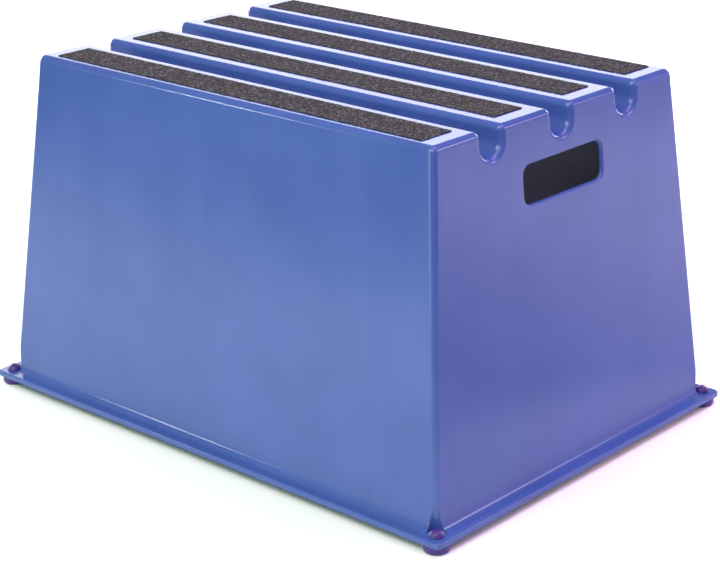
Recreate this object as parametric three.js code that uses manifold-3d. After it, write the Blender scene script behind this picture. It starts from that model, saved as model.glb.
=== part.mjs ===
// A moulded plastic mounting block: a hollow tapered step with a flange round its foot, four tread ribs
// with grit strips, a hand slot in each end wall, and four rubber feet pulled through the flange.
// Millimetres. X runs along the ribs, Y from front to back, Z up from the floor.
import * as THREE from 'three';
import { mergeVertices } from 'three/addons/utils/BufferGeometryUtils.js';
import Module from 'manifold-3d';

const wasm = await Module();
wasm.setup();

// Overall sizes.
const FLANGE_LENGTH = 600;
const FLANGE_WIDTH = 444;
const FLANGE_THICKNESS = 5.5;
const FLANGE_OVERHANG = 14;
const FLANGE_CORNER_RADIUS = 4;
const FLANGE_EDGE_RADIUS = 2.5;
const TOP_LENGTH = 510;
const TOP_WIDTH = 354;
const TOTAL_HEIGHT = 350;

// The moulding.
const WALL = 3.5;
const EDGE_RADIUS = 6;
const BASE_FILLET = 7.5;

// Drain grooves between the ribs.
const GROOVE_PITCH = 100;
const GROOVE_HALF_WIDTH = 14;
const GROOVE_DEPTH = 26.5;
const GROOVE_CENTRES = [-GROOVE_PITCH, 0, GROOVE_PITCH];

// Grit strips, front to back. The outer two sit nearer the long edges than the middle of their ribs.
const STRIP_LENGTH = 470;
const STRIP_WIDTH = 40;
const STRIP_THICKNESS = 0.8;
const STRIP_CORNER_RADIUS = 1.5;
const GLUE_LINE = 0.2;
const STRIP_CENTRES = [-148, -50, 50, 148];

// Hand slots through the end walls.
const SLOT_WIDTH = 116;
const SLOT_HEIGHT = 36;
const SLOT_CORNER_RADIUS = 9;
const SLOT_CENTRE_Z = 287.5;

// Feet: pad below the flange, stem through it, domed nose above it.
const FOOT_INSET = 12.5;
const FOOT_PAD_RADIUS = 12;
const FOOT_PAD_HEIGHT = 8;
const FOOT_PAD_CHAMFER = 1.5;
const FOOT_STEM_RADIUS = 3.7;
const FOOT_NOSE_RADIUS = 7;
const FOOT_NOSE_HEIGHT = 6;
const FOOT_HOLE_RADIUS = 4;
const SEAT_GAP = 0.3;

// Scoops in the body's corner edges, which clear the foot noses.
const SCOOP_RADIUS = 10.6;
const SCOOP_HEIGHT = 40;
const SCOOP_DRAFT = THREE.MathUtils.degToRad(5);

// How finely round surfaces are faceted.
const CORNER_STEPS = 4;
const FILLET_STEPS = 3;
const GROOVE_FLOOR_STEPS = 10;
const ROUND_SEGMENTS = 24;

// Worked out from the sizes above.
const FLANGE_TOP_Z = FOOT_PAD_HEIGHT + FLANGE_THICKNESS;
const RIB_TOP_Z = TOTAL_HEIGHT - STRIP_THICKNESS - GLUE_LINE;
const CAVITY_TOP_Z = RIB_TOP_Z - WALL;
const BASE_LENGTH = FLANGE_LENGTH - 2 * FLANGE_OVERHANG;
const DRAFT = (BASE_LENGTH - TOP_LENGTH) / 2 / (RIB_TOP_Z - FLANGE_TOP_Z);
const FOOT_X = FLANGE_LENGTH / 2 - FOOT_INSET;
const FOOT_Y = FLANGE_WIDTH / 2 - FOOT_INSET;
const CUT_MARGIN = 10;
const SMALLEST_RADIUS = 0.5;
const WELD_DISTANCE = 1e-4;

const materials = {
  shell: new THREE.MeshStandardMaterial({ color: 0x4f6fb4, roughness: 0.25, metalness: 0 }),
  strip: new THREE.MeshStandardMaterial({ color: 0x3a3836, roughness: 0.95, metalness: 0 }),
  foot: new THREE.MeshStandardMaterial({ color: 0x4b2a8c, roughness: 0.45, metalness: 0 }),
};

// Half length and half width of the tapered body's outer faces at height z.
function halfLength(z) {
  return TOP_LENGTH / 2 + DRAFT * (RIB_TOP_Z - z);
}

function halfWidth(z) {
  return TOP_WIDTH / 2 + DRAFT * (RIB_TOP_Z - z);
}

// Angles from zero to a quarter turn, both ends included.
function quarterTurn(steps) {
  return Array.from({ length: steps + 1 }, (_, i) => (i / steps) * (Math.PI / 2));
}

// One horizontal rounded rectangle, anticlockwise seen from above.
function roundedRing(halfX, halfY, radius, z) {
  const corners = [[1, 1], [-1, 1], [-1, -1], [1, -1]];
  const points = [];
  corners.forEach(([signX, signY], quarter) => {
    for (const angle of quarterTurn(CORNER_STEPS)) {
      const turn = angle + quarter * (Math.PI / 2);
      const x = signX * (halfX - radius) + radius * Math.cos(turn);
      const y = signY * (halfY - radius) + radius * Math.sin(turn);
      points.push(new THREE.Vector3(x, y, z));
    }
  });
  return points;
}

// A closed skin through rings of equal point count, with a fan at each end about the given centres.
function loft(rings, firstCentre, lastCentre) {
  const count = rings[0].length;
  const points = rings.flat().concat(firstCentre, lastCentre);
  const first = points.length - 2;
  const last = points.length - 1;
  const lastRing = (rings.length - 1) * count;
  const triangles = [];
  for (let i = 0; i < count; i += 1) {
    const next = (i + 1) % count;
    triangles.push(first, next, i);
    triangles.push(last, lastRing + i, lastRing + next);
    for (let ring = 0; ring < lastRing; ring += count) {
      triangles.push(ring + i, ring + next, ring + count + next);
      triangles.push(ring + i, ring + count + next, ring + count + i);
    }
  }
  const geometry = new THREE.BufferGeometry().setFromPoints(points);
  geometry.setIndex(triangles);
  return geometry;
}

// A loft of horizontal rounded rectangles, each given as [halfX, halfY, radius, z], from the bottom up.
function stackedRings(sections) {
  const rings = sections.map((section) => roundedRing(...section));
  const bottom = new THREE.Vector3(0, 0, sections[0][3]);
  const top = new THREE.Vector3(0, 0, sections[sections.length - 1][3]);
  return loft(rings, bottom, top);
}

function toSolid(geometry) {
  const bare = geometry.clone();
  bare.deleteAttribute('normal');
  bare.deleteAttribute('uv');
  const welded = mergeVertices(bare, WELD_DISTANCE);
  const vertProperties = new Float32Array(welded.attributes.position.array);
  const triVerts = new Uint32Array(welded.index.array);
  return new wasm.Manifold(new wasm.Mesh({ numProp: 3, vertProperties, triVerts }));
}

function toGeometry(solid) {
  const mesh = solid.getMesh();
  const geometry = new THREE.BufferGeometry();
  geometry.setAttribute('position', new THREE.BufferAttribute(mesh.vertProperties, 3));
  geometry.setIndex(new THREE.BufferAttribute(mesh.triVerts, 1));
  geometry.computeVertexNormals();
  return geometry;
}

// An upright cone frustum on the axis of one foot.
function uprightCone(x, y, bottomZ, topZ, bottomRadius, topRadius) {
  const geometry = new THREE.CylinderGeometry(topRadius, bottomRadius, topZ - bottomZ, ROUND_SEGMENTS);
  geometry.rotateX(Math.PI / 2);
  geometry.translate(x, y, (bottomZ + topZ) / 2);
  return toSolid(geometry);
}

// The scoop over one foot, or the scoop with a wall's thickness added round it.
function scoopCone(x, y, bottomZ, grow) {
  const topRadius = SCOOP_RADIUS - SCOOP_HEIGHT * Math.tan(SCOOP_DRAFT);
  return uprightCone(x, y, bottomZ, FLANGE_TOP_Z + SCOOP_HEIGHT, SCOOP_RADIUS + grow, topRadius + grow);
}

function footPlaces() {
  return [
    { name: 'foot_front_left', x: -FOOT_X, y: -FOOT_Y },
    { name: 'foot_front_right', x: FOOT_X, y: -FOOT_Y },
    { name: 'foot_back_left', x: -FOOT_X, y: FOOT_Y },
    { name: 'foot_back_right', x: FOOT_X, y: FOOT_Y },
  ];
}

// The tapered block: a fillet out of the flange, plain walls, and a rounded top edge.
function bodyBlock() {
  const rootX = halfLength(FLANGE_TOP_Z) + BASE_FILLET;
  const rootY = halfWidth(FLANGE_TOP_Z) + BASE_FILLET;
  const sections = [[rootX, rootY, EDGE_RADIUS + BASE_FILLET, FLANGE_TOP_Z - WALL]];
  for (const angle of quarterTurn(FILLET_STEPS)) {
    const z = FLANGE_TOP_Z + BASE_FILLET * (1 - Math.cos(angle));
    const out = BASE_FILLET * (1 - Math.sin(angle));
    sections.push([halfLength(z) + out, halfWidth(z) + out, EDGE_RADIUS + out, z]);
  }
  for (const angle of quarterTurn(FILLET_STEPS)) {
    const z = RIB_TOP_Z - EDGE_RADIUS * (1 - Math.sin(angle));
    const inset = EDGE_RADIUS * (1 - Math.cos(angle));
    const radius = Math.max(EDGE_RADIUS - inset, SMALLEST_RADIUS);
    sections.push([halfLength(z) - inset, halfWidth(z) - inset, radius, z]);
  }
  return toSolid(stackedRings(sections));
}

function flangePlate() {
  const sections = [[FLANGE_LENGTH / 2, FLANGE_WIDTH / 2, FLANGE_CORNER_RADIUS, FOOT_PAD_HEIGHT]];
  for (const angle of quarterTurn(FILLET_STEPS)) {
    const z = FLANGE_TOP_Z - FLANGE_EDGE_RADIUS * (1 - Math.sin(angle));
    const inset = FLANGE_EDGE_RADIUS * (1 - Math.cos(angle));
    sections.push([FLANGE_LENGTH / 2 - inset, FLANGE_WIDTH / 2 - inset, FLANGE_CORNER_RADIUS - inset, z]);
  }
  return toSolid(stackedRings(sections));
}

// The groove's section in Y and Z about its centre line, anticlockwise seen from +X: rounded mouth,
// straight sides and a half-round floor. It runs on above the mouth so that it cuts cleanly.
function grooveSection(halfMouth, sideY, floorZ, mouthZ) {
  const mouthRadius = halfMouth - sideY;
  const rightMouth = quarterTurn(FILLET_STEPS).map((angle) => [
    halfMouth - mouthRadius * Math.sin(angle),
    mouthZ - mouthRadius * (1 - Math.cos(angle)),
  ]);
  const floor = Array.from({ length: GROOVE_FLOOR_STEPS + 1 }, (_, i) => {
    const angle = Math.PI + (i / GROOVE_FLOOR_STEPS) * Math.PI;
    return [sideY * Math.cos(angle), floorZ + sideY + sideY * Math.sin(angle)];
  });
  const leftMouth = rightMouth.map(([y, z]) => [-y, z]);
  const lipTop = mouthZ + CUT_MARGIN;
  return [[halfMouth, lipTop], [-halfMouth, lipTop], ...leftMouth, ...floor, ...rightMouth.reverse()];
}

// A cutter for one drain groove. It flares at both ends to round the groove into the sloping end walls.
function grooveCutter(centreY) {
  const floorZ = RIB_TOP_Z - GROOVE_DEPTH;
  const halfMouth = GROOVE_HALF_WIDTH + EDGE_RADIUS;
  const flare = quarterTurn(FILLET_STEPS).map((angle) => ({
    setback: EDGE_RADIUS * (1 - Math.sin(angle)),
    grow: EDGE_RADIUS * (1 - Math.cos(angle)),
  }));
  flare.push({ setback: -CUT_MARGIN, grow: EDGE_RADIUS });
  const ringAt = (side, { setback, grow }) => {
    const section = grooveSection(halfMouth + grow, GROOVE_HALF_WIDTH + grow, floorZ - grow, RIB_TOP_Z);
    return section.map(([y, z]) => new THREE.Vector3(side * (halfLength(z) - setback), centreY + y, z));
  };
  const leftRings = flare.map((step) => ringAt(-1, step)).reverse();
  const rightRings = flare.map((step) => ringAt(1, step));
  const endX = halfLength(RIB_TOP_Z) + CUT_MARGIN;
  const leftCentre = new THREE.Vector3(-endX, centreY, RIB_TOP_Z);
  const rightCentre = new THREE.Vector3(endX, centreY, RIB_TOP_Z);
  return toSolid(loft([...leftRings, ...rightRings], leftCentre, rightCentre));
}

// The space a groove's own wall takes up inside the hollow.
function grooveEnvelope(centreY) {
  const sideY = GROOVE_HALF_WIDTH + WALL;
  const halfMouth = GROOVE_HALF_WIDTH + EDGE_RADIUS;
  const section = grooveSection(halfMouth, sideY, RIB_TOP_Z - GROOVE_DEPTH - WALL, CAVITY_TOP_Z);
  const ringAt = (x) => section.map(([y, z]) => new THREE.Vector3(x, centreY + y, z));
  const endX = BASE_LENGTH / 2;
  const leftCentre = new THREE.Vector3(-endX, centreY, CAVITY_TOP_Z);
  const rightCentre = new THREE.Vector3(endX, centreY, CAVITY_TOP_Z);
  return toSolid(loft([ringAt(-endX), ringAt(endX)], leftCentre, rightCentre));
}

// The hollow under the top, one wall thickness inside the outer faces, with the grooves' walls and the
// scoops' walls left standing in it.
function cavity() {
  const innerRadius = EDGE_RADIUS - WALL;
  const shoulderZ = CAVITY_TOP_Z - innerRadius;
  const bottomZ = FOOT_PAD_HEIGHT - CUT_MARGIN;
  const inner = (z, inset) => [halfLength(z) - WALL - inset, halfWidth(z) - WALL - inset, innerRadius, z];
  const sections = [inner(bottomZ, 0), inner(shoulderZ, 0), inner(CAVITY_TOP_Z, innerRadius)];
  let hollow = toSolid(stackedRings(sections));
  for (const centreY of GROOVE_CENTRES) {
    hollow = hollow.subtract(grooveEnvelope(centreY));
  }
  const pocketX = FLANGE_LENGTH / 2 - WALL;
  const pocketY = FLANGE_WIDTH / 2 - WALL;
  const pocketRadius = FLANGE_CORNER_RADIUS - WALL;
  const pocket = toSolid(stackedRings([
    [pocketX, pocketY, pocketRadius, bottomZ],
    [pocketX, pocketY, pocketRadius, FLANGE_TOP_Z - WALL],
  ]));
  hollow = hollow.add(pocket);
  for (const { x, y } of footPlaces()) {
    const seat = uprightCone(x, y, bottomZ, FLANGE_TOP_Z, FOOT_PAD_RADIUS, FOOT_PAD_RADIUS);
    hollow = hollow.subtract(seat).subtract(scoopCone(x, y, FLANGE_TOP_Z - WALL, WALL));
  }
  return hollow;
}

// A bar along X with the hand slots' rounded outline, long enough to pass both end walls.
function slotBar() {
  const outline = roundedRing(SLOT_HEIGHT / 2, SLOT_WIDTH / 2, SLOT_CORNER_RADIUS, 0);
  const ringAt = (x) => outline.map((point) => new THREE.Vector3(x, point.y, SLOT_CENTRE_Z - point.x));
  const endX = BASE_LENGTH / 2 + CUT_MARGIN;
  const leftCentre = new THREE.Vector3(-endX, 0, SLOT_CENTRE_Z);
  const rightCentre = new THREE.Vector3(endX, 0, SLOT_CENTRE_Z);
  return toSolid(loft([ringAt(-endX), ringAt(endX)], leftCentre, rightCentre));
}

function bodyShell() {
  let shell = bodyBlock().add(flangePlate()).subtract(cavity()).subtract(slotBar());
  for (const centreY of GROOVE_CENTRES) {
    shell = shell.subtract(grooveCutter(centreY));
  }
  for (const { x, y } of footPlaces()) {
    const hole = uprightCone(x, y, 0, FLANGE_TOP_Z + CUT_MARGIN, FOOT_HOLE_RADIUS, FOOT_HOLE_RADIUS);
    shell = shell.subtract(scoopCone(x, y, FLANGE_TOP_Z, 0)).subtract(hole);
  }
  return toGeometry(shell);
}

function treadStrip() {
  const plan = [STRIP_LENGTH / 2, STRIP_WIDTH / 2, STRIP_CORNER_RADIUS];
  const geometry = stackedRings([[...plan, 0], [...plan, STRIP_THICKNESS]]);
  geometry.computeVertexNormals();
  return geometry;
}

// One pull-through rubber foot, standing on its pad at z = 0.
function rubberFoot() {
  const padTopZ = FOOT_PAD_HEIGHT - SEAT_GAP;
  const noseZ = FLANGE_TOP_Z + SEAT_GAP;
  const profile = [
    [0, 0],
    [FOOT_PAD_RADIUS - FOOT_PAD_CHAMFER, 0],
    [FOOT_PAD_RADIUS, FOOT_PAD_CHAMFER],
    [FOOT_PAD_RADIUS, padTopZ],
    [FOOT_STEM_RADIUS, padTopZ],
    [FOOT_STEM_RADIUS, noseZ],
  ];
  for (const angle of quarterTurn(CORNER_STEPS)) {
    profile.push([FOOT_NOSE_RADIUS * Math.cos(angle), noseZ + FOOT_NOSE_HEIGHT * Math.sin(angle)]);
  }
  profile[profile.length - 1][0] = 0;
  const points = profile.map(([radius, z]) => new THREE.Vector2(radius, z));
  const geometry = new THREE.LatheGeometry(points, ROUND_SEGMENTS);
  geometry.rotateX(Math.PI / 2);
  return toGeometry(toSolid(geometry));
}

function addPart(group, name, geometry, material, x = 0, y = 0, z = 0) {
  const mesh = new THREE.Mesh(geometry, material);
  mesh.name = name;
  mesh.position.set(x, y, z);
  group.add(mesh);
}

const mountingBlock = new THREE.Group();
mountingBlock.name = 'mounting_block';

addPart(mountingBlock, 'body_shell', bodyShell(), materials.shell);
const stripZ = RIB_TOP_Z + GLUE_LINE;
STRIP_CENTRES.forEach((y, i) => {
  addPart(mountingBlock, `tread_strip_${i + 1}`, treadStrip(), materials.strip, 0, y, stripZ);
});
for (const { name, x, y } of footPlaces()) {
  addPart(mountingBlock, name, rubberFoot(), materials.foot, x, y, 0);
}

export default mountingBlock;
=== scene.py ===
# %% [markdown]
# # A moulded plastic mounting block
# A rider stands on this block to reach the stirrup. One hollow plastic moulding makes the walls, the
# flange, the grooves and the hand slots. Four self-adhesive grit strips and four rubber feet are added
# to it. The sizes that the CAD frame knows are read from it, and the rest are named where they are used.

import math

import bmesh
import bpy
from mathutils import Matrix, Vector


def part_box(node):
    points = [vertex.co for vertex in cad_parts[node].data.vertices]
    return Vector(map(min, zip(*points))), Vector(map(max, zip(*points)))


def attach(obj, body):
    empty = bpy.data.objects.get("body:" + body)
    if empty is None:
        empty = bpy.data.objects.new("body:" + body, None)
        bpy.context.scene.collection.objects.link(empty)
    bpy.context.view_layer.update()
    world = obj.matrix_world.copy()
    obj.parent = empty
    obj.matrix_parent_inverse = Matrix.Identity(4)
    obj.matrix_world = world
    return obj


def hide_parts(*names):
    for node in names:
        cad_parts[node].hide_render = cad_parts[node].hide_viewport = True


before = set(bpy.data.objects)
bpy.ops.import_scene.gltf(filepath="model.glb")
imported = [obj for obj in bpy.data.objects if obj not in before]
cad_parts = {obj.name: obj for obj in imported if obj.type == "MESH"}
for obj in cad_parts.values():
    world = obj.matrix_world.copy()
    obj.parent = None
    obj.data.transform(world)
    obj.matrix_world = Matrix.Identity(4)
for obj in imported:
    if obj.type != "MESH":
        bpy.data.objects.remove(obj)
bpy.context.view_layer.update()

# %% Sizes in metres
MM = 0.001
flange_low, shell_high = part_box("body_shell")
HALF_FLANGE_X = shell_high.x
HALF_FLANGE_Y = shell_high.y
FLANGE_BOTTOM_Z = flange_low.z
FLANGE_TOP_Z = flange_low.z + 5.5 * MM
FLANGE_OVERHANG = 14 * MM
TOP_Z = shell_high.z
HALF_TOP_X = 255 * MM
HALF_TOP_Y = 177 * MM

half_base_x = HALF_FLANGE_X - FLANGE_OVERHANG
half_base_y = HALF_FLANGE_Y - FLANGE_OVERHANG
wall_rise = TOP_Z - FLANGE_TOP_Z
print("flange", HALF_FLANGE_X * 2, "by", HALF_FLANGE_Y * 2, "walls", round(wall_rise, 4), "high")

# %% [markdown]
# ## Small helpers
# Everything is modelled as by hand, so these helpers open edit mode, select by place or direction, and
# run an operator or a modifier. Points closer than TOUCH count as one place, and a face whose normal
# rises or drops by more than TILT faces up or down.

# %% Small helpers
TOUCH = 0.05 * MM
TILT = 0.5


def activate(obj):
    """Selects one object alone and makes it the active one."""
    bpy.ops.object.select_all(action="DESELECT")
    obj.select_set(True)
    bpy.context.view_layer.objects.active = obj


def edit(obj, kind="FACE"):
    """Opens edit mode on one object with nothing selected."""
    activate(obj)
    bpy.ops.object.mode_set(mode="EDIT")
    bpy.ops.mesh.select_mode(type=kind)
    bpy.ops.mesh.select_all(action="DESELECT")


def done():
    bpy.ops.object.mode_set(mode="OBJECT")


def pick(test):
    """In edit mode, selects the faces, edges or vertices that pass the test, and counts them."""
    bpy.ops.mesh.select_all(action="DESELECT")
    mesh = bpy.context.active_object.data
    grid = bmesh.from_edit_mesh(mesh)
    modes = bpy.context.tool_settings.mesh_select_mode
    elements = grid.verts if modes[0] else grid.edges if modes[1] else grid.faces
    count = 0
    for element in elements:
        if test(element):
            element.select_set(True)
            count += 1
    grid.select_flush_mode()
    bmesh.update_edit_mesh(mesh)
    return count


def near(value, target, tolerance=TOUCH):
    return abs(value - target) < tolerance


def bake_place():
    """Puts the active object's place, turn and scale into its mesh."""
    bpy.ops.object.transform_apply(location=True, rotation=True, scale=True)


def face_outwards():
    bpy.ops.mesh.select_all(action="SELECT")
    bpy.ops.mesh.normals_make_consistent(inside=False)


# %% [markdown]
# ## The tapered block
# The real shell is moulded over a core, so its walls lean inwards for it to slide off. It starts here as
# a cube of the base's size whose top face is scaled down, which gives all four walls their lean.

# %% Tapered block
bpy.ops.object.select_all(action="DESELECT")
bpy.ops.mesh.primitive_cube_add(size=1, location=(0, 0, FLANGE_TOP_Z + wall_rise / 2))
shell = bpy.context.active_object
shell.name = "shell_moulding"
shell.scale = (half_base_x * 2, half_base_y * 2, wall_rise)
bake_place()
edit(shell)
pick(lambda face: face.normal.z > TILT)
bpy.ops.transform.resize(value=(HALF_TOP_X / half_base_x, HALF_TOP_Y / half_base_y, 1))
done()
print("block top", round(HALF_TOP_X * 2, 4), "by", round(HALF_TOP_Y * 2, 4))

# %% [markdown]
# ## Drain grooves
# Three half-round grooves part the top into four ribs, so that rain and mud leave the tread. Each is cut
# by a cylinder whose upper half is stretched upwards, and the cut edges are rounded with all the others.

# %% Groove cutter
GROOVE_CENTRES = (-100 * MM, 0, 100 * MM)
GROOVE_RADIUS = 14 * MM
GROOVE_DEPTH = 26.5 * MM
GROOVE_SIDES = 40


def extrude(offset):
    bpy.ops.mesh.extrude_region_move(TRANSFORM_OT_translate={"value": offset})


def groove_cutter(y):
    """A round bar along X as low as the groove's bottom, drawn up past the top of the block."""
    axis_z = TOP_Z - GROOVE_DEPTH + GROOVE_RADIUS
    bpy.ops.object.select_all(action="DESELECT")
    bpy.ops.mesh.primitive_cylinder_add(
        vertices=GROOVE_SIDES,
        radius=GROOVE_RADIUS,
        depth=HALF_FLANGE_X * 2,
        location=(0, y, axis_z),
        rotation=(0, math.pi / 2, 0),
    )
    cutter = bpy.context.active_object
    bake_place()
    edit(cutter)
    bpy.ops.mesh.select_all(action="SELECT")
    bpy.ops.mesh.bisect(plane_co=(0, y, axis_z), plane_no=(0, 0, 1))
    pick(lambda face: face.calc_center_median().z > axis_z)
    extrude((0, 0, GROOVE_DEPTH))
    done()
    return cutter


# %% Drain grooves
def apply_modifier(obj, name, kind, **settings):
    """Adds one modifier with its settings and applies it."""
    activate(obj)
    modifier = obj.modifiers.new(name, kind)
    for key, value in settings.items():
        setattr(modifier, key, value)
    bpy.ops.object.modifier_apply(modifier=name)


def subtract(cutter):
    """Cuts a closed solid out of the shell and throws the cutter away."""
    apply_modifier(shell, "Cut", "BOOLEAN", operation="DIFFERENCE", solver="EXACT", object=cutter)
    bpy.data.objects.remove(cutter)


for y in GROOVE_CENTRES:
    subtract(groove_cutter(y))
print("grooved block has", len(shell.data.polygons), "faces")

# %% [markdown]
# ## Rounded edges
# Molten plastic does not fill sharp corners, and hands and shins would not thank them, so every outer
# edge has the same 6 mm round. One bevel over all the sharp edges also makes the small ball corners.

# %% Rounded edges
EDGE_RADIUS = 6 * MM
EDGE_STEPS = 7
SHARP_LEAST = math.radians(40)

edit(shell, "EDGE")
bpy.ops.mesh.edges_select_sharp(sharpness=SHARP_LEAST)
grid = bmesh.from_edit_mesh(shell.data)
for edge in grid.edges:
    if near(edge.verts[0].co.z, FLANGE_TOP_Z) and near(edge.verts[1].co.z, FLANGE_TOP_Z):
        edge.select_set(False)
grid.select_flush_mode()
bmesh.update_edit_mesh(shell.data)
bpy.ops.mesh.bevel(offset=EDGE_RADIUS, segments=EDGE_STEPS, affect="EDGES", clamp_overlap=False)
done()
print("rounded block has", len(shell.data.polygons), "faces")

# %% [markdown]
# ## The flange
# The flange stiffens the open bottom and carries the feet. The block's bottom loop is extruded, scaled
# out to the flange's outline and turned down into a short skirt. The corners are scaled back a little,
# because a scaled loop has bigger corner rounds than the flange has.

# %% Flange outline and skirt
FLANGE_CORNER_RADIUS = 4 * MM

edit(shell)
pick(lambda face: face.normal.z < -TILT)
bpy.ops.mesh.delete(type="FACE")
bpy.ops.mesh.select_mode(type="EDGE")
pick(lambda edge: edge.is_boundary)
extrude((0, 0, 0))
bpy.ops.transform.resize(value=(HALF_FLANGE_X / half_base_x, HALF_FLANGE_Y / half_base_y, 1))
bpy.ops.mesh.select_mode(type="VERT")
corner_growth = FLANGE_CORNER_RADIUS / (EDGE_RADIUS * HALF_FLANGE_X / half_base_x)
for side_x in (-1, 1):
    for side_y in (-1, 1):
        corner = Vector((side_x * HALF_FLANGE_X, side_y * HALF_FLANGE_Y, FLANGE_TOP_Z))
        pick(lambda vert: (vert.co - corner).length < FLANGE_CORNER_RADIUS)
        bpy.ops.transform.resize(value=(corner_growth, corner_growth, 1), center_override=corner)
bpy.ops.mesh.select_mode(type="EDGE")
pick(lambda edge: edge.is_boundary)
extrude((0, 0, FLANGE_BOTTOM_Z - FLANGE_TOP_Z))
print("skirt", round((FLANGE_TOP_Z - FLANGE_BOTTOM_Z) / MM, 2), "mm high")

# %% [markdown]
# ## The fillet at the foot of the wall
# Where the wall meets the flange a fillet keeps the moulding from cracking. It is a bevel on the inner
# corner, and then the bottom is closed for a while, because a clean cut needs a solid. The block is
# still open in edit mode from the last cell.

# %% Fillet
BASE_FILLET = 7.5 * MM
FILLET_STEPS = 5
SQUARE_LEAST = math.radians(45)
FOOT_LINE_REACH = 1 * MM


def follows(edge, least, most):
    """True for a sharp edge level with the flange's top, that far from the foot of the wall."""
    level = all(near(vert.co.z, FLANGE_TOP_Z) for vert in edge.verts)
    sharp = edge.calc_face_angle(0) > SQUARE_LEAST
    reach = [max(abs(v.co.x) - half_base_x, abs(v.co.y) - half_base_y) for v in edge.verts]
    return level and sharp and least < min(reach) and max(reach) < most


pick(lambda edge: follows(edge, -EDGE_RADIUS, FOOT_LINE_REACH))
bpy.ops.mesh.bevel(offset=BASE_FILLET, segments=FILLET_STEPS, affect="EDGES", clamp_overlap=False)
pick(lambda edge: edge.is_boundary)
bpy.ops.mesh.edge_face_add()
face_outwards()
done()
print("flanged block has", len(shell.data.polygons), "faces")

# %% [markdown]
# ## Scoops and foot holes
# A scoop is pressed into each corner edge so that the nose of the foot has room, and a hole through the
# flange below it takes the foot's stem. Both are cut from the closed block with upright cones. The
# scoop's floor lies a hair above the flange, because two faces in one plane give a Boolean slivers.

# %% Scoops and foot holes
foot_low, foot_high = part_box("foot_front_left")
FOOT_X = abs(foot_low.x + foot_high.x) / 2
FOOT_Y = abs(foot_low.y + foot_high.y) / 2
FOOT_HOLE_RADIUS = 4 * MM
HOLE_OVERCUT = 5 * MM
SCOOP_RADIUS = 10.6 * MM
SCOOP_TOP_RADIUS = 7.1 * MM
SCOOP_HEIGHT = 40 * MM
SCOOP_FLOOR = 0.2 * MM
CONE_SIDES = 48


def subtract_upright(x, y, bottom_z, top_z, bottom_radius, top_radius):
    bpy.ops.object.select_all(action="DESELECT")
    bpy.ops.mesh.primitive_cone_add(
        vertices=CONE_SIDES,
        radius1=bottom_radius,
        radius2=top_radius,
        depth=top_z - bottom_z,
        location=(x, y, (bottom_z + top_z) / 2),
    )
    subtract(bpy.context.active_object)


# %% [markdown]
# ## Hand slots
# A slot through each end wall is the handle. Its cutter is a box with four rounded edges. The pockets
# that it leaves in the solid are opened afterwards.

# %% Hand slots
SLOT_WIDTH = 116 * MM
SLOT_HEIGHT = 36 * MM
SLOT_CORNER_RADIUS = 9 * MM
SLOT_CORNER_STEPS = 8
SLOT_CENTRE_Z = 287.5 * MM
SLOT_CUTTER_LENGTH = 80 * MM


def subtract_slot(side):
    bpy.ops.object.select_all(action="DESELECT")
    bpy.ops.mesh.primitive_cube_add(size=1, location=(side * half_base_x, 0, SLOT_CENTRE_Z))
    cutter = bpy.context.active_object
    cutter.scale = (SLOT_CUTTER_LENGTH, SLOT_WIDTH, SLOT_HEIGHT)
    bake_place()
    edit(cutter, "EDGE")
    pick(lambda edge: abs(edge.verts[0].co.x - edge.verts[1].co.x) > SLOT_CUTTER_LENGTH / 2)
    bpy.ops.mesh.bevel(offset=SLOT_CORNER_RADIUS, segments=SLOT_CORNER_STEPS, affect="EDGES")
    done()
    subtract(cutter)


for side_x in (-1, 1):
    for side_y in (-1, 1):
        x, y = side_x * FOOT_X, side_y * FOOT_Y
        scoop_low, scoop_high = FLANGE_TOP_Z + SCOOP_FLOOR, FLANGE_TOP_Z + SCOOP_HEIGHT
        subtract_upright(x, y, scoop_low, scoop_high, SCOOP_RADIUS, SCOOP_TOP_RADIUS)
        subtract_upright(x, y, 0, FLANGE_TOP_Z + HOLE_OVERCUT, FOOT_HOLE_RADIUS, FOOT_HOLE_RADIUS)
    subtract_slot(side_x)
print("cut block has", len(shell.data.polygons), "faces")

# %% [markdown]
# ## The wall
# The block is a solid so far. With its bottom and the slots' pockets taken away, one Solidify turns the
# skin into a wall of the same thickness everywhere, which is how a real moulding cools evenly. It grows
# inwards, so the outside stays put.

# %% Wall
WALL = 3.5 * MM
SLOT_MARGIN = 1 * MM


def in_slot(point):
    """True for points within the outline of the hand slots."""
    beside = abs(point.y) - SLOT_WIDTH / 2
    above = abs(point.z - SLOT_CENTRE_Z) - SLOT_HEIGHT / 2
    return beside < SLOT_MARGIN and above < SLOT_MARGIN


edit(shell)
pockets = pick(lambda face: all(in_slot(vert.co) for vert in face.verts))
bpy.ops.mesh.delete(type="FACE")
bottoms = pick(lambda face: near(face.calc_center_median().z, FLANGE_BOTTOM_Z))
bpy.ops.mesh.delete(type="FACE")
bpy.ops.mesh.select_all(action="SELECT")
bpy.ops.mesh.remove_doubles(threshold=TOUCH)
bpy.ops.mesh.normals_make_consistent(inside=False)
done()
print("opened", pockets, "slot faces and", bottoms, "bottom faces")
apply_modifier(shell, "Wall", "SOLIDIFY", thickness=WALL, offset=-1, use_quality_normals=True)
print("walled shell has", len(shell.data.polygons), "faces")

# %% [markdown]
# ## Slot rims and the flange's outline
# The rim of each hand slot is rounded over the thickness of the wall, because the fingers carry the
# block's whole weight on it. The outline of the flange gets a smaller round, which makes a thin bright
# line under the light.

# %% Slot rims and outline
SLOT_RIM_RADIUS = 3 * MM
RIM_STEPS = 6
FLANGE_EDGE_RADIUS = 1.4 * MM
OUTLINE_STEPS = 5


def outer_half_x(z):
    """Half the length of the outside of the end walls at height z."""
    return HALF_TOP_X + (half_base_x - HALF_TOP_X) * (TOP_Z - z) / wall_rise


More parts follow.
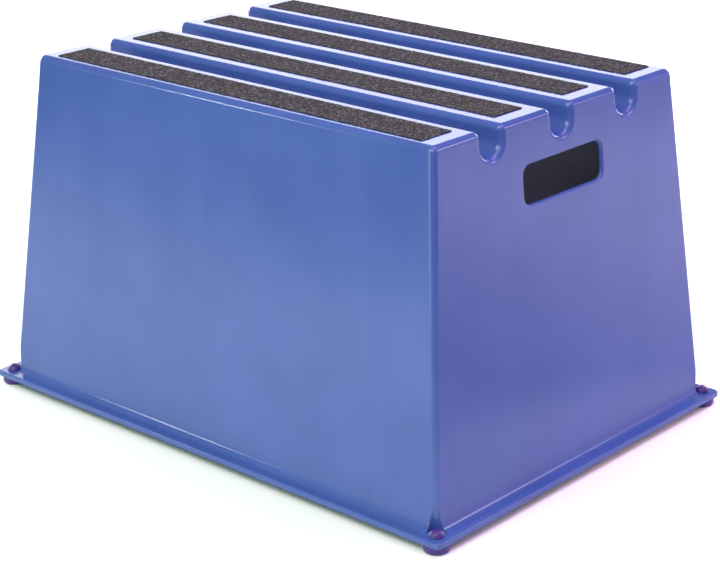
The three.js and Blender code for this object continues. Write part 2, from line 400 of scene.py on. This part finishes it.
def outer_rim(edge):
    points = [vert.co for vert in edge.verts]
    on_face = all(near(abs(point.x), outer_half_x(point.z)) and in_slot(point) for point in points)
    return on_face and edge.calc_face_angle() > SQUARE_LEAST


edit(shell, "EDGE")
rims = pick(outer_rim)
bpy.ops.mesh.bevel(offset=SLOT_RIM_RADIUS, segments=RIM_STEPS, affect="EDGES", clamp_overlap=False)
outline_least, outline_most = FLANGE_OVERHANG - FLANGE_CORNER_RADIUS, 2 * FLANGE_OVERHANG
outline = pick(lambda edge: follows(edge, outline_least, outline_most))
bpy.ops.mesh.bevel(
    offset=FLANGE_EDGE_RADIUS, segments=OUTLINE_STEPS, affect="EDGES", clamp_overlap=False
)
face_outwards()
done()
print("rounded", rims, "rim edges and", outline, "flange edges")

# %% Finished shell
SHELL_CREASE = math.radians(30)

bpy.ops.object.shade_smooth_by_angle(angle=SHELL_CREASE)
apply_modifier(shell, "Normals", "WEIGHTED_NORMAL", keep_sharp=True)
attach(shell, "root")
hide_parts("body_shell")
print("shell has", len(shell.data.vertices), "vertices")

# %% [markdown]
# ## Grit strips
# Each rib carries a strip of anti-slip tape: mineral grains glued to a thin backing. A grid of small
# faces is extruded to the strip's thickness, and its underside, which nobody sees, is dissolved to a
# few faces. The grains are 1.25 mm here. Real ones are finer, but would be too many faces.

# %% Strip blank
GRAIN = 1.25 * MM
GRAIN_HEIGHT = 0.2 * MM
FLAT = math.radians(1)
strip_low, strip_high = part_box("tread_strip_1")
strip_length = strip_high.x - strip_low.x
strip_width = strip_high.y - strip_low.y
strip_middle = (strip_low + strip_high) / 2
grain_top_z = strip_high.z - GRAIN_HEIGHT

bpy.ops.object.select_all(action="DESELECT")
bpy.ops.mesh.primitive_grid_add(
    x_subdivisions=round(strip_length / GRAIN),
    y_subdivisions=round(strip_width / GRAIN),
    size=1,
    location=(strip_middle.x, strip_middle.y, strip_low.z),
)
strip = bpy.context.active_object
strip.name = "grit_strip_1"
strip.scale = (strip_length, strip_width, 1)
bake_place()
edit(strip)
bpy.ops.mesh.select_all(action="SELECT")
extrude((0, 0, grain_top_z - strip_low.z))
face_outwards()
pick(lambda face: face.normal.z < -TILT)
bpy.ops.mesh.dissolve_limited(angle_limit=FLAT)
print("strip", round(strip_length / MM), "by", round(strip_width / MM), "mm")

# %% [markdown]
# ## Strip corners and grains
# Tape is cut with slightly rounded corners so that they don't lift. Then every point of the top is
# moved along its normal by a random amount, which catches the light as coarse grit does. The seed
# keeps the same grains on each run. The strip is still open in edit mode, because leaving it would
# put the points in another order and give each one another amount.

# %% Strip corners and grains
STRIP_CORNER = 0.9 * GRAIN
STRIP_CORNER_STEPS = 3
UPRIGHT_LEAST = 0.2 * MM
GRAIN_SEED = 7
GRAIN_CREASE = math.radians(50)


def upright_corner(edge):
    first, second = (vert.co for vert in edge.verts)
    middle = (first + second) / 2 - strip_middle
    upright = abs(first.z - second.z) > UPRIGHT_LEAST
    at_corner = near(abs(middle.x), strip_length / 2) and near(abs(middle.y), strip_width / 2)
    return upright and at_corner


bpy.ops.mesh.select_mode(type="EDGE")
corners = pick(upright_corner)
bpy.ops.mesh.bevel(offset=STRIP_CORNER, segments=STRIP_CORNER_STEPS, affect="EDGES")
bpy.ops.mesh.select_mode(type="VERT")
grains = pick(lambda vert: near(vert.co.z, grain_top_z, TOUCH / 5))
bpy.ops.transform.vertex_random(offset=GRAIN_HEIGHT, uniform=0, normal=1, seed=GRAIN_SEED)
done()
bpy.ops.object.shade_smooth_by_angle(angle=GRAIN_CREASE)
top_z = max(vert.co.z for vert in strip.data.vertices)
print("corners", corners, "grains", grains, "top", round(top_z, 5), "of", round(strip_high.z, 5))

# %% [markdown]
# ## Four strips
# One finished strip is copied to the other ribs. Each copy has its own mesh, moved inside the object,
# so that every object stays at the origin.

# %% Four strips
def copy_to(obj, name, offset):
    """A copy of a finished piece with its own mesh moved by offset, and its object at the origin."""
    activate(obj)
    bpy.ops.object.duplicate(linked=False)
    twin = bpy.context.active_object
    twin.name = name
    twin.data.name = name
    twin.data.transform(Matrix.Translation(offset))
    return twin


strips = [strip]
for number in (2, 3, 4):
    low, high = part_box(f"tread_strip_{number}")
    strips.append(copy_to(strip, f"grit_strip_{number}", low - strip_low))
for number, piece in enumerate(strips, 1):
    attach(piece, "root")
    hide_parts(f"tread_strip_{number}")
print(len(strips), "strips of", len(strip.data.polygons), "faces")

# %% [markdown]
# ## Rubber foot
# Each foot is one rubber moulding: a pad under the flange, a stem through the hole and a domed nose
# that snaps through and holds it. It is drawn up from a disc by extruding and scaling ring after ring.
# Each ring is a radius and a height, from the rounded lower rim of the pad to the top of the dome.

# %% Foot profile
PAD_RADIUS = 12 * MM
PAD_FACE_RADIUS = 9.6 * MM
PAD_RIM_RADIUS = 11.6 * MM
STEM_RADIUS = 3.7 * MM
NOSE_RADIUS = 7 * MM
SEAT_GAP = 0.3 * MM
DOME_STEPS = 6
pad_top_z = FLANGE_BOTTOM_Z - SEAT_GAP
nose_low_z = FLANGE_TOP_Z + SEAT_GAP
nose_height = foot_high.z - nose_low_z

rings = [
    (10.9 * MM, 0.4 * MM),
    (PAD_RIM_RADIUS, 1.3 * MM),
    (PAD_RADIUS, 2.8 * MM),
    (PAD_RADIUS, 7 * MM),
    (PAD_RIM_RADIUS, pad_top_z),
    (STEM_RADIUS, pad_top_z),
    (STEM_RADIUS, nose_low_z),
]
for step in range(DOME_STEPS):
    angle = math.pi / 2 * step / DOME_STEPS
    rings.append((NOSE_RADIUS * math.cos(angle), nose_low_z + nose_height * math.sin(angle)))
print("foot has", len(rings), "rings")

# %% Rubber foot
FOOT_SIDES = 40
FOOT_CREASE = math.radians(45)

bpy.ops.object.select_all(action="DESELECT")
bpy.ops.mesh.primitive_circle_add(
    vertices=FOOT_SIDES,
    radius=PAD_FACE_RADIUS,
    fill_type="NGON",
    location=Vector((-FOOT_X, -FOOT_Y, 0)),
)
foot = bpy.context.active_object
foot.name = "rubber_foot_front_left"
bake_place()
edit(foot)
bpy.ops.mesh.select_all(action="SELECT")
radius, height = PAD_FACE_RADIUS, 0
for ring_radius, ring_z in rings:
    extrude((0, 0, ring_z - height))
    ratio = ring_radius / radius
    bpy.ops.transform.resize(value=(ratio, ratio, 1))
    radius, height = ring_radius, ring_z
extrude((0, 0, foot_high.z - height))
bpy.ops.mesh.merge(type="CENTER")
face_outwards()
done()
bpy.ops.object.shade_smooth_by_angle(angle=FOOT_CREASE)
print("foot faces", len(foot.data.polygons))

# %% Four feet
feet = {"foot_front_left": foot}
for node in ("foot_front_right", "foot_back_left", "foot_back_right"):
    low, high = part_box(node)
    feet[node] = copy_to(foot, "rubber_" + node, (low + high) / 2 - (foot_low + foot_high) / 2)
for node, piece in feet.items():
    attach(piece, "root")
    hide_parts(node)
print(len(feet), "feet")

# %% [markdown]
# ## Material helpers
# Colours are written as the sRGB codes that a paint program shows, and made linear for the renderer.
# The patterns read the Object coordinates, which are metres, so a pattern of size s has a scale of
# 1 / s. A noise of high detail is fine and cloudy, and one of low detail is smooth.

# %% Material helpers
def linear(code):
    """One sRGB hex colour as linear red, green, blue and alpha."""
    parts = [int(code[i : i + 2], 16) / 255 for i in (1, 3, 5)]
    return [c / 12.92 if c <= 0.04045 else ((c + 0.055) / 1.055) ** 2.4 for c in parts] + [1]


def add_node(tree, kind, settings=None, **inputs):
    """One shader node with its settings. Each input takes a value or another node's output."""
    node = tree.nodes.new(kind)
    for key, value in (settings or {}).items():
        setattr(node, key, value)
    for name, value in inputs.items():
        socket = node.inputs[name.replace("_", " ")]
        if isinstance(value, bpy.types.NodeSocket):
            tree.links.new(value, socket)
        else:
            socket.default_value = value
    return node


def new_material(name):
    """A material with a bare surface shader, and the point that its patterns read."""
    material = bpy.data.materials.new(name)
    material.use_nodes = True
    tree = material.node_tree
    point = add_node(tree, "ShaderNodeTexCoord").outputs["Object"]
    return material, tree, tree.nodes["Principled BSDF"], point


def paint(piece, material):
    piece.data.materials.clear()
    piece.data.materials.append(material)
    print(piece.name, "is painted with", material.name)


# %% Pattern helpers
def noise(tree, point, size, detail=2):
    """Random patches about size metres across, from 0 to 1."""
    node = add_node(tree, "ShaderNodeTexNoise", Vector=point, Scale=1 / size, Detail=detail)
    return node.outputs["Fac"]


def spread(tree, value, low, high, new_low, new_high):
    """Stretches the part of a pattern between low and high over a new range."""
    old = {"From_Min": low, "From_Max": high}
    new = {"To_Min": new_low, "To_Max": new_high}
    return add_node(tree, "ShaderNodeMapRange", Value=value, **old, **new).outputs["Result"]


def blend_colours(tree, factor, first, second):
    """Goes from the first colour to the second as the factor goes from 0 to 1."""
    node = add_node(tree, "ShaderNodeMix", {"data_type": "RGBA"})
    tree.links.new(factor, node.inputs["Factor"])
    first_input, second_input, colour_output = node.inputs[6], node.inputs[7], node.outputs[2]
    for socket, colour in ((first_input, first), (second_input, second)):
        if isinstance(colour, bpy.types.NodeSocket):
            tree.links.new(colour, socket)
        else:
            socket.default_value = colour
    return colour_output


def bump(tree, height, depth, below=None):
    """Surface relief of that depth in metres, on top of another relief if there is one."""
    node = add_node(tree, "ShaderNodeBump", Height=height, Distance=depth, Strength=1.0)
    if below is not None:
        tree.links.new(below, node.inputs["Normal"])
    return node.outputs["Normal"]


# %% [markdown]
# ## Shell: moulded polyethylene
# The blue pigment is melted into the plastic, and its flow leaves faint clouds and upright streaks. The
# steel mould's polish gives a gloss that the orange peel and small sink marks break up. Handling and
# grit scuff it in patches. The IOR of polyethylene is about 1.51.

# %% Shell material
POLYETHYLENE_IOR = 1.51
UPRIGHT_STREAKS = (1, 1, 0.2)

plastic, tree, surface, point = new_material("moulded_polyethylene_gloss")
clouds = spread(tree, noise(tree, point, 80 * MM, 3), 0.3, 0.7, 0, 1)
pigment = blend_colours(tree, clouds, linear("#3d549a"), linear("#455ba3"))
flow = add_node(tree, "ShaderNodeMapping", Vector=point, Scale=UPRIGHT_STREAKS).outputs["Vector"]
streaks = spread(tree, noise(tree, flow, 22 * MM, 3), 0.5, 0.8, 0, 0.22)
streaked = blend_colours(tree, streaks, pigment, linear("#4f66ab"))
scuffs = spread(tree, noise(tree, point, 5 * MM, 5), 0.68, 0.8, 0, 0.25)
colour = blend_colours(tree, scuffs, streaked, linear("#6a82bd"))
tree.links.new(colour, surface.inputs["Base Color"])
haze = spread(tree, noise(tree, flow, 35 * MM, 4), 0.35, 0.7, 0.12, 0.2)
tree.links.new(haze, surface.inputs["Roughness"])
sink = bump(tree, noise(tree, point, 70 * MM, 1), 0.3 * MM)
peel = bump(tree, noise(tree, point, 3 * MM, 1), 0.02 * MM, sink)
tree.links.new(peel, surface.inputs["Normal"])
surface.inputs["IOR"].default_value = POLYETHYLENE_IOR
paint(shell, plastic)

# %% [markdown]
# ## Strips: mineral grit
# The grains are crushed black and brown mineral in a dark binder. They give no clear reflection. Each
# Voronoi cell is one grain. Painted shade darkens each grain towards its edge, and a painted sparkle
# lightens some grains. The cells are 1.6 mm across, coarser than real grit, because finer ones would
# blur into one grey.

# %% Grit material
GRAIN_CELL = 1.6 * MM
GRAIN_RELIEF = 0.35 * MM

grit, tree, surface, point = new_material("mineral_grit_tape")
cells = add_node(tree, "ShaderNodeTexVoronoi", Vector=point, Scale=1 / GRAIN_CELL)
# Painted shade: each grain is darker towards its edge, as if shaded between the grains.
grain_edge_shade = spread(tree, cells.outputs["Distance"], 0.0, 0.8, 1, 0)
dark = blend_colours(tree, grain_edge_shade, linear("#1a1a1e"), linear("#444349"))
drift = spread(tree, noise(tree, point, 7 * MM, 4), 0.4, 0.62, 0, 1)
brown = blend_colours(tree, drift, dark, linear("#3a3432"))
tone = add_node(tree, "ShaderNodeSeparateColor", Color=cells.outputs["Color"]).outputs["Red"]
# Painted sparkle: some grains are lightened in the colour where a glint would be.
painted_sparkle = spread(tree, tone, 0.75, 0.95, 0, 0.6)
grit_with_painted_sparkle = blend_colours(tree, painted_sparkle, brown, linear("#7a7a82"))
tree.links.new(grit_with_painted_sparkle, surface.inputs["Base Color"])
surface.inputs["Roughness"].default_value = 1.0
surface.inputs["Specular IOR Level"].default_value = 0.15
rough_relief = bump(tree, cells.outputs["Distance"], GRAIN_RELIEF)
tree.links.new(rough_relief, surface.inputs["Normal"])
for piece in strips:
    paint(piece, grit)

# %% [markdown]
# ## Feet: moulded rubber
# The soft violet rubber has a satin skin from its mould. Dust makes it duller and lighter in patches.

# %% Rubber material
rubber, tree, surface, point = new_material("moulded_rubber_satin")
patches = spread(tree, noise(tree, point, 5 * MM, 4), 0.35, 0.7, 0, 1)
violet = blend_colours(tree, patches, linear("#38206f"), linear("#43297f"))
tree.links.new(violet, surface.inputs["Base Color"])
satin = spread(tree, noise(tree, point, 3 * MM, 3), 0.3, 0.7, 0.32, 0.5)
tree.links.new(satin, surface.inputs["Roughness"])
skin = bump(tree, noise(tree, point, 1.2 * MM, 2), 0.04 * MM)
tree.links.new(skin, surface.inputs["Normal"])
for piece in feet.values():
    paint(piece, rubber)

# %% [markdown]
# ## Camera
# The camera stands off the block's right front corner and looks down on it through a long lens, which
# keeps the far edges nearly parallel to the near ones.

# %% Camera
CAMERA_PLACE = (1.26902, -1.39127, 0.81018)
CAMERA_AZIMUTH = math.radians(42.1)
CAMERA_ELEVATION = math.radians(20.07)
CAMERA_ROLL = math.radians(-0.54)
LENS_MILLIMETRES = 99.21
SENSOR_MILLIMETRES = 36

camera = bpy.data.objects.new("camera", bpy.data.cameras.new("camera"))
bpy.context.scene.collection.objects.link(camera)
bpy.context.scene.camera = camera
across, ahead = math.sin(CAMERA_AZIMUTH), -math.cos(CAMERA_AZIMUTH)
away = Vector((across, ahead, math.tan(CAMERA_ELEVATION)))
turn = away.to_track_quat("Z", "Y").to_matrix() @ Matrix.Rotation(CAMERA_ROLL, 3, "Z")
camera.rotation_euler = turn.to_euler()
camera.location = CAMERA_PLACE
camera.data.sensor_width = SENSOR_MILLIMETRES
camera.data.lens = LENS_MILLIMETRES
print("camera", round(Vector(CAMERA_PLACE).length, 3), "m from the block")

# %% [markdown]
# ## Floor
# White studio paper on the floor bounces soft light up into the walls, whose gloss also mirrors it.
# Painted shade greys the paper about a metre before the long wall and off the near corner, where the
# light would fall off, and a painted shadow of the block lies in a wedge before the end wall. These
# give the upper walls something darker to mirror.

# %% Floor
PAPER_WHITE = "#fafafa"
# The grey is painted shade on the paper, not a colour that the paper has.
PAINTED_SHADE_GREY = "#8c8c8c"
FLOOR_SIZE = 40
bpy.ops.object.select_all(action="DESELECT")
bpy.ops.mesh.primitive_plane_add(size=FLOOR_SIZE, location=(0, 0, 0))
floor = bpy.context.active_object
floor.name = "studio_floor"
paper, tree, surface, point = new_material("studio_paper_matt")


def beyond(direction, distance, fade):
    """Rises from 0 to 1 across a line on the floor that lies at that distance that way."""
    along = add_node(tree, "ShaderNodeVectorMath", {"operation": "DOT_PRODUCT"})
    tree.links.new(point, along.inputs[0])
    along.inputs[1].default_value = direction
    return spread(tree, along.outputs["Value"], distance - fade, distance + fade, 0, 1)


def combine(operation, first, second):
    """Joins two patterns: MAXIMUM covers either area, and MINIMUM only where both lie."""
    node = add_node(tree, "ShaderNodeMath", {"operation": operation})
    tree.links.new(first, node.inputs[0])
    tree.links.new(second, node.inputs[1])
    return node.outputs["Value"]


# %% Floor paper
# How far the painted shadow of the block before the end wall darkens the paper.
END_SHADOW_SHARE = 0.7

# Painted shade: the paper greys where the light would fall off, a metre before the long wall and off the
# near corner. The wedge before the end wall is a painted shadow of the block.
front_painted_shade = beyond((0, -1, 0), 1.0, 0.2)
corner_painted_shade = beyond((0.67, -0.74, 0), 0.85, 0.2)
shadow_wedge_front, shadow_wedge_side = beyond((0.41, -0.91, 0), -0.2, 0.2), beyond((0.86, 0.51, 0), 0.48, 0.07)
end_painted_shadow = spread(tree, combine("MINIMUM", shadow_wedge_front, shadow_wedge_side), 0, 1, 0, END_SHADOW_SHARE)
painted_floor_shade = combine("MAXIMUM", combine("MAXIMUM", front_painted_shade, corner_painted_shade), end_painted_shadow)
paper_with_painted_shade = blend_colours(tree, painted_floor_shade, linear(PAPER_WHITE), linear(PAINTED_SHADE_GREY))
tree.links.new(paper_with_painted_shade, surface.inputs["Base Color"])
surface.inputs["Roughness"].default_value = 0.9
paint(floor, paper)

# %% [markdown]
# ## Light
# Large soft boxes stand around the block, and the rest of the room adds a weak even light. Two strong
# boxes at the far sides rake along the walls. A low one behind is mirrored in the tops of the ribs.
# Fills on the near sides are tinted, cooler before the long wall and more violet before the end wall.
# Others lift the floor at the back and the right, and two small ones draw lines on the near corner and
# the flange. The last is a warm glow in the hollow, which keeps the hand slot a plain dark grey.

# %% Soft boxes
AIM = (0, 0, 0.15)


def soft_box(name, azimuth, elevation, distance, size, power, colour=(1, 1, 1), aim=AIM):
    """An area light from that direction, in degrees from +X round to +Y and up, that looks at aim."""
    turn, rise = math.radians(azimuth), math.radians(elevation)
    level = math.cos(rise)
    back = Vector((level * math.cos(turn), level * math.sin(turn), math.sin(rise)))
    data = bpy.data.lights.new(name, "AREA")
    data.shape = "RECTANGLE"
    data.size, data.size_y = size
    data.energy = power
    data.color = colour
    light = bpy.data.objects.new(name, data)
    bpy.context.scene.collection.objects.link(light)
    light.location = Vector(AIM) + back * distance
    light.rotation_euler = (light.location - Vector(aim)).to_track_quat("Z", "Y").to_euler()


# %% Light
# Each box has a direction, a distance and a size in metres, a power in watts and a tint.
ROOM_LIGHT = 0.28

soft_box("left_rake", 180, 12, 2.2, (1, 1), 40)
soft_box("back_rake", 90, 12, 2.2, (1, 1), 33)
soft_box("rib_top_panel", 138, 24, 1.6, (1.5, 0.7), 8, aim=(0, 0, 0.35))
soft_box("back_floor", 128, 30, 2.8, (1.2, 1.2), 14, aim=(-1.7, 2.2, 0))
soft_box("front_fill", -90, 12, 2.2, (1, 1), 8, (0.4, 1, 0.45))
soft_box("front_high", -90, 45, 2.0, (1, 1), 20, (0.84, 1, 0.74))
soft_box("corner_high", -45, 45, 2.0, (1, 1), 12, (0.97, 0.76, 1))
soft_box("end_high", 45, 60, 2.0, (1, 1), 13.5, (0.8, 0.24, 1))
soft_box("end_low", 45, 12, 2.2, (1, 1), 4, (0.8, 0.5, 1))
soft_box("right_floor", -5, 65, 1.3, (0.5, 0.5), 3, (0.85, 1, 0.9), aim=(0.75, 0, 0))
soft_box("far_floor", 38.7, 23.9, 2.1, (0.8, 0.8), 11, (0.98, 0.9, 1), aim=(1.5, 1.2, 0))
soft_box("corner_key", -131, 8, 2.3, (0.2, 0.2), 4)
soft_box("edge_strip", -90, 1, 1.05, (0.5, 0.28), 0.8, aim=(0.1, -0.19, 0.15))
soft_box("hollow_glow", -140, 30, 0.1, (0.08, 0.08), 0.4, (1, 0.52, 0.16), aim=(0.08, 0.2, 0.18))

world = bpy.data.worlds.new("studio")
bpy.context.scene.world = world
world.use_nodes = True
backdrop = world.node_tree.nodes["Background"]
backdrop.inputs["Color"].default_value = (1, 1, 1, 1)
backdrop.inputs["Strength"].default_value = ROOM_LIGHT
bpy.context.scene.view_settings.view_transform = "Standard"
print("lights", len(bpy.data.lights))
